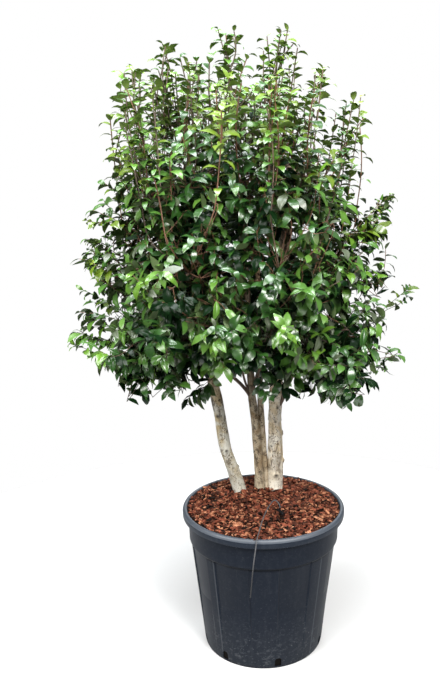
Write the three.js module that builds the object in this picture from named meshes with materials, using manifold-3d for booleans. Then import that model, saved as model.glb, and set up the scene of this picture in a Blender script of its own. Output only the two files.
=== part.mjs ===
// A several-stemmed camellia in a round nursery pot, in millimetres: +Z up, the front towards -Y,
// and the origin on the ground under the middle of the pot. The four stems stand on the root ball
// inside a layer of bark mulch. The crown is four tiers of foliage masses, with leader shoots standing
// up out of it and side shoots reaching outwards. A thin drip tube runs from a dripper over the rim.

import * as THREE from 'three';
import { mergeVertices } from 'three/addons/utils/BufferGeometryUtils.js';
import Module from 'manifold-3d';

const wasm = await Module();
wasm.setup();

// Driving dimensions

const gap = 0.4; // between neighbours that touch
const pot = {
  height: 645, rimRadius: 361, lipWidth: 20, bandHeight: 38, collarRadius: 333, collarFoot: 503,
  baseRadius: 268, wallTopRadius: 327, wall: 5, floor: 6, footChamfer: 6, sides: 36,
  notches: [-72, -37.9, 13.5, 68, 112, 164, 216, 256], // degrees from the front towards +X
  notchWidth: 30, notchHeight: 42, notchFoot: 7, notchDepth: 40,
};
const rootBall = { top: 575, inset: 1 };
const mulch = { edge: 638, crown: 664, rings: 3, roughness: 8 };
const crown = { x: -75, y: 50, leanX: -60, base: 1360 };
const clump = { detail: 2, lobes: 10, lobeWidth: 0.15, hollow: 0.84, swell: 0.32 };
const shoot = { sides: 5, steps: 6, uneven: 0.3, ruffle: 0.15 };

// Tiers of foliage round the crown's axis. reach is from the axis to a mass's centre, and lift raises
// the front masses so that the stems show under them.
const tiers = [
  {
    name: 'lower', count: 6, turn: 27, height: 1378, lift: 190,
    reach: 395, radial: 250, across: 255, tall: 225,
  },
  {
    name: 'middle', count: 6, turn: 0, height: 1680, lift: 0,
    reach: 355, radial: 265, across: 250, tall: 255,
  },
  {
    name: 'upper', count: 5, turn: 18, height: 2005, lift: 0,
    reach: 285, radial: 250, across: 245, tall: 250,
  },
  {
    name: 'top', count: 3, turn: 50, height: 2235, lift: 0,
    reach: 175, radial: 220, across: 235, tall: 185,
  },
];

// Leader shoots stand up out of the crown: the place of each tip.
const leaders = [
  [-640, 50, 2330], [-530, -60, 2490], [-395, 30, 2585], [-300, -140, 2500], [-170, 50, 2645],
  [-60, -110, 2540], [28, 90, 2640], [84, -30, 2645], [-200, 260, 2540], [245, 40, 2490],
  [375, -20, 2380], [110, 290, 2450], [-430, 280, 2400],
];
const leader = { length: 390, radius: 60 };

// Side shoots point outwards and a little up: the height of the tip, its turn round the crown in
// degrees, and its distance from the crown's axis.
const sideShoots = [
  [1385, 184, 740], [1595, 172, 710], [1750, 190, 660], [1940, 180, 600],
  [1345, -6, 645], [1610, 4, 722], [1890, -4, 610],
  [1540, 245, 690], [1560, 75, 700], [1800, 115, 650],
];
const sideShoot = { length: 270, radius: 66, rise: 70 };

// Stems and boughs: the route's points, then the radius at the foot and at the tip.
const stems = {
  stem_left: {
    route: [
      [-94, 116, 0], [-106, 116, 60], [-117, 115, 105], [-140, 114, 186], [-167, 112, 267], [-184, 111, 347],
      [-195, 110, 427], [-206, 109, 505], [-222, 107, 582], [-234, 104, 700], [-250, 100, 860],
      [-270, 96, 1020],
    ],
    foot: 30.5, tip: 19, flare: 4,
  },
  stem_right: {
    route: [
      [54, 146, 0], [55, 146, 60], [56, 144, 190], [54, 142, 330], [53, 140, 470], [56, 138, 560],
      [65, 136, 760], [72, 134, 900], [80, 132, 1050],
    ],
    foot: 34, tip: 26, flare: 5,
  },
  stem_centre: {
    route: [
      [-20, 134, 0], [-19, 134, 90], [-25, 132, 230], [-34, 130, 370], [-47, 126, 490], [-53, 124, 560],
      [-61, 120, 700], [-67, 118, 850], [-73, 114, 1000],
    ],
    foot: 22, tip: 14, flare: 6,
  },
  stem_slim: {
    route: [
      [11, 150, 0], [8, 149, 110], [-1, 148, 260], [-8, 146, 400], [-14, 144, 520], [-18, 142, 640],
      [-20, 140, 800], [-24, 136, 960],
    ],
    foot: 17, tip: 11, flare: 5,
  },
};
const boughs = {
  bough_left: {
    route: [[-66, 118, 548], [-108, 112, 600], [-165, 100, 655], [-235, 84, 730]], foot: 8.5, tip: 5,
  },
  bough_thin: {
    route: [[-70, 116, 575], [-88, 110, 625], [-103, 104, 700], [-118, 96, 800]], foot: 5.5, tip: 3.5,
  },
  bough_inner: {
    route: [[-41, 110, 590], [-26, 100, 650], [-4, 86, 730], [16, 70, 830]], foot: 8, tip: 5,
  },
  bough_right: {
    route: [[82, 126, 515], [101, 116, 570], [130, 100, 640], [175, 80, 740]], foot: 12, tip: 7,
  },
};
const limb = { sides: 8, steps: 11, boughSides: 6, boughSteps: 5 };

const dripper = {
  x: 74, y: -150.5, z: 673, turn: -53, dip: 14, back: 7, front: 5.5, length: 38, cap: 8.5, capLength: 7,
  stake: 3.5, stakePoint: 1.2, stakeLength: 60, spigot: 3.6, spigotBack: 6, spigotLength: 17, sides: 8,
};
// The drip tube: up out of the dripper's spigot in a low arch, over the mulch and the rim, and down
// outside the pot to its cut end.
const tube = {
  radius: 2.5, sides: 8, step: 15,
  route: [
    [70.4, -145.7, 690.4], [70, -145.3, 698], [66.5, -142.5, 706.5], [59, -136, 714], [49.5, -129, 717.5],
    [40, -135, 716], [31.3, -150, 711], [17.2, -185, 703.6], [4.7, -225, 695], [-7.7, -267, 679],
    [-16.5, -303, 662], [-22.5, -327, 652], [-25.2, -344, 649.4], [-26.8, -357, 649], [-28, -365.5, 643],
    [-29.5, -368.5, 631], [-32, -369.5, 610], [-35, -368.5, 587], [-41, -363, 536], [-45.4, -356, 487],
    [-48.5, -349, 446], [-51.6, -342, 407], [-53.8, -337, 380],
  ],
};

// A repeatable random number from 0 to 1 for each seed and index.
function chance(seed, index) {
  const wave = Math.sin(seed * 127.1 + index * 311.7) * 43758.5453;
  return wave - Math.floor(wave);
}

// A direction for each seed and index, spread evenly over the sphere and then shaken.
function spread(seed, index, count) {
  const height = 1 - 2 * (index + 0.5) / count + 0.25 * (chance(seed, index) - 0.5);
  const turn = 2.4 * index + seed + 0.7 * chance(seed, index + 50);
  const level = THREE.MathUtils.clamp(height, -1, 1);
  return new THREE.Vector3().setFromCylindricalCoords(Math.sqrt(1 - level * level), turn, level);
}

// A smooth bumpy value from -1 to 1 over the directions, different for each seed.
function bumps(direction, seed) {
  let total = 0;
  for (let k = 0; k < 4; k++) {
    const pitch = 2.2 + 1.3 * k;
    const wave = direction.x * (chance(seed, k) - 0.5) + direction.y * (chance(seed, k + 10) - 0.5)
      + direction.z * (chance(seed, k + 20) - 0.5);
    total += Math.sin(pitch * 2.4 * wave + 6.28 * chance(seed, k + 30)) / (1 + 0.5 * k);
  }
  return total / 2;
}

// Moves each vertex of a geometry, whose shared vertices are merged first so that it stays closed.
function reshape(geometry, place) {
  geometry.deleteAttribute('normal');
  geometry.deleteAttribute('uv');
  const merged = mergeVertices(geometry, 1e-4);
  const position = merged.getAttribute('position');
  const vertex = new THREE.Vector3();
  for (let i = 0; i < position.count; i++) {
    vertex.fromBufferAttribute(position, i);
    place(vertex);
    position.setXYZ(i, vertex.x, vertex.y, vertex.z);
  }
  return merged;
}

function solidOf(geometry) {
  const merged = reshape(geometry, () => {});
  return new wasm.Manifold(new wasm.Mesh({
    numProp: 3,
    vertProperties: new Float32Array(merged.getAttribute('position').array),
    triVerts: new Uint32Array(merged.index.array),
  }));
}

function geometryOf(solid) {
  const mesh = solid.getMesh();
  const geometry = new THREE.BufferGeometry();
  geometry.setAttribute('position', new THREE.BufferAttribute(mesh.vertProperties, 3));
  geometry.setIndex(new THREE.BufferAttribute(mesh.triVerts, 1));
  return geometry;
}

// A solid turned on the pot's axis from a profile of [radius, height] points.
function turned(profile, sides) {
  const points = profile.map(([radius, height]) => new THREE.Vector2(radius, height));
  return new THREE.LatheGeometry(points, sides).rotateX(Math.PI / 2);
}

const overlaps = (a, b) => {
  const boxA = a.boundingBox();
  const boxB = b.boundingBox();
  return [0, 1, 2].every((k) => boxA.min[k] < boxB.max[k] && boxB.min[k] < boxA.max[k]);
};

// What is left of a solid when its neighbours are cut away, as one piece: the largest, or the lowest.
function cutBy(solid, neighbours, keepLowest = false) {
  const left = neighbours.filter((n) => overlaps(solid, n)).reduce((rest, n) => rest.subtract(n), solid);
  const rank = (piece) => (keepLowest ? -piece.boundingBox().min[2] : piece.volume());
  return left.decompose().sort((a, b) => rank(b) - rank(a))[0];
}

function innerRadius(height) {
  return pot.baseRadius + (pot.wallTopRadius - pot.baseRadius) * height / pot.collarFoot - pot.wall;
}

function potSolid() {
  const bandFoot = pot.height - pot.bandHeight;
  const lipInner = pot.rimRadius - pot.lipWidth;
  const shell = solidOf(turned([
    [0, 0], [pot.baseRadius - pot.footChamfer, 0], [pot.baseRadius, pot.footChamfer],
    [pot.wallTopRadius, pot.collarFoot - 6], [pot.collarRadius, pot.collarFoot],
    [pot.collarRadius + 3, bandFoot], [pot.rimRadius - 1, bandFoot], [pot.rimRadius, pot.height - 6],
    [pot.rimRadius - 5, pot.height], [lipInner + 3, pot.height], [lipInner, pot.height - 4],
    [pot.collarRadius - pot.wall + 3, bandFoot - 12], [pot.collarRadius - pot.wall, pot.collarFoot + 6],
    [innerRadius(pot.collarFoot), pot.collarFoot - 6], [innerRadius(pot.floor), pot.floor], [0, pot.floor],
  ], pot.sides));
  const notches = pot.notches.map((degrees) => {
    const angle = degrees * Math.PI / 180;
    const cutter = new THREE.BoxGeometry(pot.notchWidth, pot.notchDepth, pot.notchHeight);
    cutter.translate(0, -pot.baseRadius, pot.notchFoot + pot.notchHeight / 2).rotateZ(angle);
    return solidOf(cutter);
  });
  return notches.reduce((rest, notch) => rest.subtract(notch), shell);
}

function rootBallSolid() {
  const inset = rootBall.inset;
  const foot = pot.floor + inset;
  const shoulder = pot.collarFoot - 6;
  return solidOf(turned([
    [0, foot], [innerRadius(foot) - inset, foot], [innerRadius(shoulder) - inset - 1, shoulder],
    [innerRadius(shoulder) - inset - 1, rootBall.top], [0, rootBall.top],
  ], pot.sides));
}

// The mulch lies on the root ball, widens into the rim, and rises to a low mound, rough on top.
function mulchSolid() {
  const foot = rootBall.top + gap;
  const narrow = pot.collarRadius - pot.wall - 3;
  const wide = pot.rimRadius - pot.lipWidth - 2.5;
  const profile = [[0, foot], [narrow, foot], [narrow, foot + 14], [wide, mulch.edge - 6]];
  for (let i = 0; i <= mulch.rings; i++) {
    const share = i / mulch.rings;
    const rise = (mulch.crown - mulch.edge) * Math.sin(share * Math.PI / 2);
    profile.push([wide * (1 - share), mulch.edge + rise]);
  }
  return solidOf(reshape(turned(profile, pot.sides), (v) => {
    if (v.z < mulch.edge - 1) return;
    const reach = Math.hypot(v.x, v.y);
    const place = new THREE.Vector3(v.x / 90, v.y / 90, 0.3);
    v.z += mulch.roughness * bumps(place, 5) * (reach > 0.97 * wide ? 0.3 : 1);
  }));
}

// A tapering limb on a smooth route, with a level cut at its foot.
function limbSolid({ route, foot, tip, flare = 0 }, base, sides, steps, grown = 0) {
  const curve = new THREE.CatmullRomCurve3(route.map(([x, y, z]) => new THREE.Vector3(x, y, z + base)));
  const length = curve.getLength();
  const up = new THREE.Vector3(0, 0, 1);
  return solidOf(reshape(new THREE.CylinderGeometry(1, 1, 1, sides, steps), (v) => {
    const share = THREE.MathUtils.clamp(v.y + 0.5, 0, 1);
    const along = share > 0 ? curve.getTangentAt(share) : up;
    const across = new THREE.Vector3(1, 0, 0).addScaledVector(along, -along.x).normalize();
    const aside = new THREE.Vector3().crossVectors(along, across);
    const radius = foot + (tip - foot) * share + flare * Math.exp(-share * length / 40) + grown;
    const end = share > 0.5 ? 1 : share > 0 ? 0 : -1;
    const centre = curve.getPointAt(share).addScaledVector(along, end * grown);
    v.copy(centre.addScaledVector(across, v.x * radius).addScaledVector(aside, -v.z * radius));
  }));
}

const crownAxis = (height) => crown.x + crown.leanX * (height - crown.base) / 1000;

function sideName(degrees) {
  const names = ['right', 'right_back', 'back', 'left_back', 'left', 'left_front', 'front', 'right_front'];
  return names[Math.round(((degrees % 360) + 360) % 360 / 45) % 8];
}

function massPlace(tier, index) {
  const angle = (tier.turn + index * 360 / tier.count) * Math.PI / 180;
  const height = tier.height + tier.lift * Math.max(0, -Math.sin(angle)) ** 4;
  const centre = new THREE.Vector3(
    crownAxis(height) + tier.reach * Math.cos(angle), crown.y + tier.reach * Math.sin(angle), height);
  return { tier, angle, centre, seed: tier.height / 100 + index * 1.7 };
}

// One mass: a clump with lobes, longer outwards, across or upwards as its tier says.
function massSolid({ tier, angle, centre, seed }, grown = 0) {
  const lobes = Array.from({ length: clump.lobes }, (_, k) => spread(seed, k, clump.lobes));
  const ball = reshape(new THREE.IcosahedronGeometry(1, clump.detail), (v) => {
    const nearest = Math.max(...lobes.map((lobe, k) => v.dot(lobe) - 0.04 * chance(seed, k + 90)));
    const swell = clump.hollow + clump.swell * Math.exp((nearest - 1) / clump.lobeWidth);
    v.set(v.x * tier.radial * swell, v.y * tier.across * swell, v.z * tier.tall * swell);
    v.setLength(v.length() + grown);
  });
  return solidOf(ball.rotateZ(angle).translate(...centre));
}

// How far a mass reaches from its centre along a direction, without its lobes.
function reachAlong({ tier, angle }, direction) {
  const own = direction.clone().applyAxisAngle(new THREE.Vector3(0, 0, 1), -angle);
  return 1 / own.divide(new THREE.Vector3(tier.radial, tier.across, tier.tall)).length();
}

// The half of space beyond the flat face where one mass meets another.
function beyond(mass, other) {
  const apart = other.centre.clone().sub(mass.centre);
  const distance = apart.length();
  apart.normalize();
  const own = reachAlong(mass, apart);
  const next = reachAlong(other, apart);
  const balance = (own * own - next * next) / (2 * distance * distance);
  const share = THREE.MathUtils.clamp(0.5 + balance, 0.3, 0.7);
  const size = 1600;
  const face = share * distance - gap / 2;
  const block = new THREE.BoxGeometry(size, size, size).translate(0, 0, size / 2 + face);
  block.applyQuaternion(new THREE.Quaternion().setFromUnitVectors(new THREE.Vector3(0, 0, 1), apart));
  return solidOf(block.translate(...mass.centre));
}

// A leafy shoot: a spindle from its base to its tip, with an uneven outline.
function shootSolid(base, tip, radius, seed, grown = 0) {
  const along = tip.clone().sub(base);
  const length = along.length();
  along.normalize();
  const across = new THREE.Vector3(0, -1, 0.2).cross(along).normalize();
  const aside = new THREE.Vector3().crossVectors(along, across);
  return solidOf(reshape(new THREE.CylinderGeometry(1, 1, 1, shoot.sides, shoot.steps), (v) => {
    const share = v.y + 0.5;
    const around = new THREE.Vector3(v.x, share * 2, v.z);
    const ruffle = 1 - shoot.ruffle * Math.cos(Math.PI * shoot.steps * share);
    const thickness = ruffle * Math.pow(Math.sin(Math.PI * Math.pow(0.1 + 0.84 * share, 1.2)), 0.6);
    const girth = radius * thickness * (1 + shoot.uneven * bumps(around, seed)) + grown;
    const step = share * length + (share - 0.5) * 2 * grown;
    v.copy(base.clone().addScaledVector(along, step)
      .addScaledVector(across, v.x * girth).addScaledVector(aside, -v.z * girth));
  }));
}

function leaderEnds([x, y, z]) {
  const tip = new THREE.Vector3(x, y, z);
  const lean = new THREE.Vector3((crownAxis(z) - x) * 0.3, (crown.y - y) * 0.3, -leader.length);
  return [tip.clone().add(lean), tip];
}

function sideShootEnds([height, degrees, reach]) {
  const angle = degrees * Math.PI / 180;
  const point = (distance, z) => new THREE.Vector3(
    crownAxis(height) + distance * Math.cos(angle), crown.y + distance * Math.sin(angle), z);
  return [point(reach - sideShoot.length, height - sideShoot.rise), point(reach, height)];
}

// A stake in the mulch carries a slanting body, with a cap at its front and a spigot for the tube.
function dripperSolid(grown = 0) {
  const rod = (first, last, length) => new THREE.CylinderGeometry(
    first + grown, last + grown, length + 2 * grown, dripper.sides);
  const { turn, dip } = dripper;
  const lay = (geometry, along) => {
    geometry.rotateZ(-Math.PI / 2).translate(along, 0, 0);
    return solidOf(geometry).rotate([0, dip, turn]);
  };
  const upright = (geometry, along, height) => {
    const angle = turn * Math.PI / 180;
    geometry.rotateX(Math.PI / 2).translate(along * Math.cos(angle), along * Math.sin(angle), height);
    return solidOf(geometry);
  };
  return lay(rod(dripper.front, dripper.back, dripper.length), 0)
    .add(lay(rod(dripper.cap, dripper.cap, dripper.capLength), dripper.length / 2 - 1))
    .add(upright(rod(dripper.spigot, dripper.spigot, dripper.spigotLength), -dripper.spigotBack,
      dripper.spigotLength / 2))
    .add(upright(rod(dripper.stake, dripper.stakePoint, dripper.stakeLength), 0, -dripper.stakeLength / 2))
    .translate([dripper.x, dripper.y, dripper.z]);
}

function tubeGeometry() {
  const section = new THREE.Shape();
  for (let i = 0; i < tube.sides; i++) {
    const angle = i * 2 * Math.PI / tube.sides;
    section[i ? 'lineTo' : 'moveTo'](tube.radius * Math.cos(angle), tube.radius * Math.sin(angle));
  }
  section.closePath();
  const path = new THREE.CatmullRomCurve3(tube.route.map((point) => new THREE.Vector3(...point)));
  const steps = Math.round(path.getLength() / tube.step);
  return new THREE.ExtrudeGeometry(section, { steps, bevelEnabled: false, extrudePath: path });
}

const finishes = {
  pot: { color: 0x23272c, roughness: 0.55 },
  soil: { color: 0x2b1d14, roughness: 0.95 },
  mulch: { color: 0x7a3d24, roughness: 0.95 },
  bark: { color: 0xb3a890, roughness: 0.85 },
  twig: { color: 0x5b4636, roughness: 0.8 },
  foliage: { color: 0x1f4a22, roughness: 0.4 },
  youngFoliage: { color: 0x3f6d22, roughness: 0.4 },
  dripper: { color: 0x0d0d0f, roughness: 0.35 },
  tube: { color: 0x3a3a3c, roughness: 0.45 },
};

const camellia = new THREE.Group();

function addNode(name, geometry, finish) {
  const flat = geometry.index ? geometry.toNonIndexed() : geometry;
  flat.computeVertexNormals();
  const node = new THREE.Mesh(flat, new THREE.MeshStandardMaterial({ metalness: 0, ...finishes[finish] }));
  node.name = name;
  camellia.add(node);
}

addNode('pot', geometryOf(potSolid()), 'pot');
addNode('root_ball', geometryOf(rootBallSolid()), 'soil');

// Masses meet each other in flat faces.
const masses = tiers.flatMap((tier) => Array.from({ length: tier.count }, (_, i) => massPlace(tier, i)));
const plainMasses = masses.map((mass) => massSolid(mass));
masses.forEach((mass, i) => {
  const touching = masses.filter((_, k) => k !== i && overlaps(plainMasses[i], plainMasses[k]));
  const cut = touching.reduce((rest, other) => rest.subtract(beyond(mass, other)), plainMasses[i]);
  const side = sideName(mass.angle * 180 / Math.PI);
  addNode(`foliage_${mass.tier.name}_${side}`, geometryOf(cut), 'foliage');
});
const grownMasses = masses.map((mass) => massSolid(mass, 1.5 * gap));

// Shoots stand clear of the masses that they grow from and of each other.
const grownShoots = [];
function addShoots(name, list, endsOf, radius) {
  list.forEach((entry, i) => {
    const [base, tip] = endsOf(entry);
    const leafy = cutBy(shootSolid(base, tip, radius, i + list.length), [...grownMasses, ...grownShoots]);
    grownShoots.push(shootSolid(base, tip, radius, i + list.length, 1.5 * gap));
    addNode(`${name}_${i + 1}`, geometryOf(leafy), 'youngFoliage');
  });
}
addShoots('leader_shoot', leaders, leaderEnds, leader.radius);
addShoots('side_shoot', sideShoots, sideShootEnds, sideShoot.radius);

// Stems stand on the root ball, and end where they enter a mass.
const stemFoot = rootBall.top + gap;
const grownLimbs = [];
for (const [name, stem] of Object.entries(stems)) {
  const plain = limbSolid(stem, stemFoot, limb.sides, limb.steps);
  addNode(name, geometryOf(cutBy(plain, [...grownMasses, ...grownLimbs], true)), 'bark');
  grownLimbs.push(limbSolid(stem, stemFoot, limb.sides, limb.steps, gap));
}
for (const [name, bough] of Object.entries(boughs)) {
  const plain = limbSolid(bough, stemFoot, limb.boughSides, limb.boughSteps);
  addNode(name, geometryOf(cutBy(plain, [...grownMasses, ...grownLimbs], true)), 'twig');
  grownLimbs.push(limbSolid(bough, stemFoot, limb.boughSides, limb.boughSteps, gap));
}

addNode('mulch', geometryOf(cutBy(mulchSolid(), [...grownLimbs, dripperSolid(gap)])), 'mulch');
addNode('dripper', geometryOf(dripperSolid()), 'dripper');
addNode('drip_tube', tubeGeometry(), 'tube');

export default camellia;
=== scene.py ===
import math

import bpy
import numpy as np
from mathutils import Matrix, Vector
from mathutils.bvhtree import BVHTree


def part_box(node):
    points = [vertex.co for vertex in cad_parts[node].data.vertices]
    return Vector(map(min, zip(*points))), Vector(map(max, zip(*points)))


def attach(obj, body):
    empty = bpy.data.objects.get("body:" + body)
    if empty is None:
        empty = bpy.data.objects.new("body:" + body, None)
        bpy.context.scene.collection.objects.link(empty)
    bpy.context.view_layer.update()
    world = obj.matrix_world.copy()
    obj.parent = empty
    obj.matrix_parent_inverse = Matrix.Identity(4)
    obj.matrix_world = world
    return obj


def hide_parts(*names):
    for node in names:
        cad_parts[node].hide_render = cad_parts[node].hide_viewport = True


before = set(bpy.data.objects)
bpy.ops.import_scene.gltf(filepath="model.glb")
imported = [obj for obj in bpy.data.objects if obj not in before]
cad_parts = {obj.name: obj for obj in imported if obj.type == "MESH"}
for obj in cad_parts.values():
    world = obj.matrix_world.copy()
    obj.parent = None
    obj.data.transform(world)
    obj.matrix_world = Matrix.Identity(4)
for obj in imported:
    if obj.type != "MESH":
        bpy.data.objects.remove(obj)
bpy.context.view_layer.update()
print("frame loaded")


cameraSettings = {
    "place": (0.0, -3.03, 2.0),
    "down": 12.0,  # degrees below the horizon
    "lens": 37.34, "sensor": 36.0, "shift": -0.0624,
}

cameraData = bpy.data.cameras.new("camera")
cameraData.lens = cameraSettings["lens"]
cameraData.sensor_width = cameraSettings["sensor"]
cameraData.shift_x = cameraSettings["shift"]
camera = bpy.data.objects.new("camera", cameraData)
camera.location = cameraSettings["place"]
camera.rotation_euler = (math.radians(90 - cameraSettings["down"]), 0, 0)
bpy.context.collection.objects.link(camera)
bpy.context.scene.camera = camera


def unit(v):
    v = np.asarray(v, float)
    size = np.linalg.norm(v, axis=-1, keepdims=True)
    return v / np.maximum(size, 1e-9)


def meshPiece(name, points, faces, materials=(), faceMaterials=None, sharp=None):
    # sharp is the angle in degrees past which an edge stays crisp; without it every face is flat
    mesh = bpy.data.meshes.new(name)
    faces = faces if isinstance(faces, list) else faces.tolist()
    mesh.from_pydata(np.asarray(points, float).tolist(), [], faces)
    for material in materials:
        mesh.materials.append(material)
    if faceMaterials is not None:
        mesh.polygons.foreach_set("material_index", np.asarray(faceMaterials, np.int32))
    if sharp:
        mesh.shade_smooth()
        mesh.set_sharp_from_angle(angle=math.radians(sharp))
    mesh.update()
    piece = bpy.data.objects.new(name, mesh)
    bpy.context.collection.objects.link(piece)
    return piece


def place(piece, slot, *nodes):
    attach(piece, "root")
    if nodes:
        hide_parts(*nodes)
    return piece


def smoothRoute(points, count, steps=24):
    # a Catmull-Rom curve through the points, found in short steps and then spaced evenly by length
    p = np.asarray(points, float)
    p = np.vstack([2 * p[0] - p[1], p, 2 * p[-1] - p[-2]])
    fine = []
    for i in range(1, len(p) - 2):
        t = np.linspace(0, 1, steps, endpoint=False)[:, None]
        fine.append(0.5 * (2 * p[i] + (p[i + 1] - p[i - 1]) * t
                    + (2 * p[i - 1] - 5 * p[i] + 4 * p[i + 1] - p[i + 2]) * t ** 2
                    + (3 * p[i] - p[i - 1] - 3 * p[i + 1] + p[i + 2]) * t ** 3))
    fine = np.vstack(fine + [p[-2][None]])
    along = np.concatenate([[0], np.cumsum(np.linalg.norm(np.diff(fine, axis=0), axis=1))])
    want = np.linspace(0, along[-1], count)
    return np.stack([np.interp(want, along, fine[:, k]) for k in range(3)], 1)


def framesAlong(path):
    along = unit(np.gradient(path, axis=0))
    side = np.zeros_like(path)
    guess = np.array([1.0, 0.13, 0.0])  # no path starts this way
    for i, t in enumerate(along):
        guess = guess - t * guess.dot(t)
        guess = guess / max(np.linalg.norm(guess), 1e-9)
        side[i] = guess
    return along, side, np.cross(along, side)


def roundAngles(sides):
    return np.linspace(0, 2 * math.pi, sides, endpoint=False)


def ringFaces(rings, sides):
    # quads between each ring of points and the next
    i = np.arange(rings - 1)[:, None] * sides
    k = np.arange(sides)[None]
    n = (k + 1) % sides
    return np.stack([i + k, i + n, i + sides + n, i + sides + k], -1).reshape(-1, 4)


def tube(path, radii, sides, offset=0, relief=None):
    # rings round the path, closed at both ends; relief(angles) scales the radius round every ring
    _, side, up = framesAlong(path)
    angles = roundAngles(sides)
    ring = side[:, None] * np.cos(angles)[None, :, None] + up[:, None] * np.sin(angles)[None, :, None]
    scale = np.ones((len(path), sides)) if relief is None else relief(angles)
    points = (path[:, None] + ring * (np.asarray(radii)[:, None] * scale)[:, :, None]).reshape(-1, 3)
    faces = [tuple(f) for f in ringFaces(len(path), sides) + offset]
    last = offset + (len(path) - 1) * sides
    faces += [tuple(range(offset + sides - 1, offset - 1, -1)), tuple(range(last, last + sides))]
    return points, faces


class Wire:
    def __init__(self, finish, socket):
        self.finish = finish
        self.socket = socket

    def maths(self, operation, first, second):
        return self.finish.node("Math", {"operation": operation}, {0: first, 1: second})

    def __add__(self, other):
        return self.maths("ADD", self, other)

    def __radd__(self, other):
        return self.maths("ADD", other, self)

    def __sub__(self, other):
        return self.maths("SUBTRACT", self, other)

    def __rsub__(self, other):
        return self.maths("SUBTRACT", other, self)

    def __mul__(self, other):
        return self.maths("MULTIPLY", self, other)

    def __rmul__(self, other):
        return self.maths("MULTIPLY", other, self)


class Nodes:
    def __init__(self, tree):
        self.tree = tree

    def put(self, socket, value):
        if isinstance(value, Wire):
            self.tree.links.new(value.socket, socket)
        elif isinstance(value, tuple) and len(value) == 3 and socket.type == "RGBA":
            socket.default_value = (*value, 1.0)
        else:
            socket.default_value = value

    def node(self, kind, settings, sockets, out=0):
        made = self.tree.nodes.new("ShaderNode" + kind)
        for key, value in settings.items():
            setattr(made, key, value)
        for key, value in sockets.items():
            self.put(made.inputs[key], value)
        return Wire(self, made.outputs[out])

    def height(self, place):
        return self.node("SeparateXYZ", {}, {0: place}, 2)

    def band(self, value, low, high):
        # 0 below low, 1 above high
        return self.node("MapRange", {"clamp": True, "interpolation_type": "SMOOTHSTEP"},
                         {0: value, 1: low, 2: high, 3: 0.0, 4: 1.0})


class Finish(Nodes):
    labels = {"colour": "Base Color", "rough": "Roughness", "specular": "Specular IOR Level",
              "normal": "Normal"}

    def __init__(self, name, **plain):
        self.material = bpy.data.materials.new(name)
        self.material.use_nodes = True
        super().__init__(self.material.node_tree)
        self.shader = self.tree.nodes["Principled BSDF"]
        self.set(**plain)

    def set(self, **values):
        for key, value in values.items():
            self.put(self.shader.inputs[self.labels[key]], value)
        return self

    def noise(self, place, scale, detail=4.0, rough=0.55, distortion=0.0):
        return self.node("TexNoise", {}, {"Vector": place, "Scale": scale, "Detail": detail,
                                         "Roughness": rough, "Distortion": distortion})

    def mix(self, share, first, second):
        return self.node("Mix", {"data_type": "RGBA"}, {0: share, 6: first, 7: second}, 2)

    def bump(self, height, strength, distance):
        return self.node("Bump", {}, {"Strength": strength, "Distance": distance, "Height": height})

    def place(self, scale=(1, 1, 1)):
        place = self.node("TexCoord", {}, {}, 3)
        return self.node("Mapping", {}, {"Vector": place, "Scale": scale})


def speckled(name, rough, specular, scale, dark, light):
    f = Finish(name, rough=rough, specular=specular)
    return f.set(colour=f.mix(f.noise(f.place(), scale), dark, light)).material


dripSettings = {
    "diameter": 0.005, "sides": 12, "rings": 120,
    "dustySheen": (0.46, 0.60),  # the heights between which its lower end's black turns to grey: dust, and a painted sheen on the upper run
    "route": (  # in millimetres
        (70.4, -145.7, 690.4), (70, -145.3, 698), (66.5, -142.5, 706.5), (59, -136, 714), (49.5, -129, 717.5),
        (40, -135, 716), (31.3, -150, 711), (17.2, -185, 703.6), (4.7, -225, 695), (-7.7, -267, 679),
        (-16.5, -303, 662), (-22.5, -327, 652), (-25.2, -344, 649.4), (-26.8, -357, 649), (-28, -365.5, 643),
        (-29.5, -368.5, 631), (-32, -369.5, 610), (-35, -368.5, 587), (-41, -363, 536), (-45.4, -356, 487),
        (-48.5, -349, 446), (-51.6, -342, 407), (-53.8, -337, 380)),
}

tubeFinish = Finish("tube_finish", rough=0.38, specular=0.35)
# a mottled grey: dust, and a painted sheen on the tube's run over the mulch and rim
dust = tubeFinish.mix(tubeFinish.noise(tubeFinish.place(), 60.0), (0.035, 0.035, 0.038), (0.10, 0.10, 0.105))
sheenShare = tubeFinish.band(tubeFinish.height(tubeFinish.place()), *dripSettings["dustySheen"])
tubeFinish.set(colour=tubeFinish.mix(sheenShare, (0.006, 0.006, 0.007), dust))

dripPath = smoothRoute(np.array(dripSettings["route"]) / 1000, dripSettings["rings"])
dripRadii = np.full(len(dripPath), dripSettings["diameter"] / 2)
dripPoints, dripFaces = tube(dripPath, dripRadii, dripSettings["sides"])
dripTube = meshPiece("micro_tube", dripPoints, dripFaces, [tubeFinish.material], sharp=50)
place(dripTube, "tube", "drip_tube")


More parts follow.
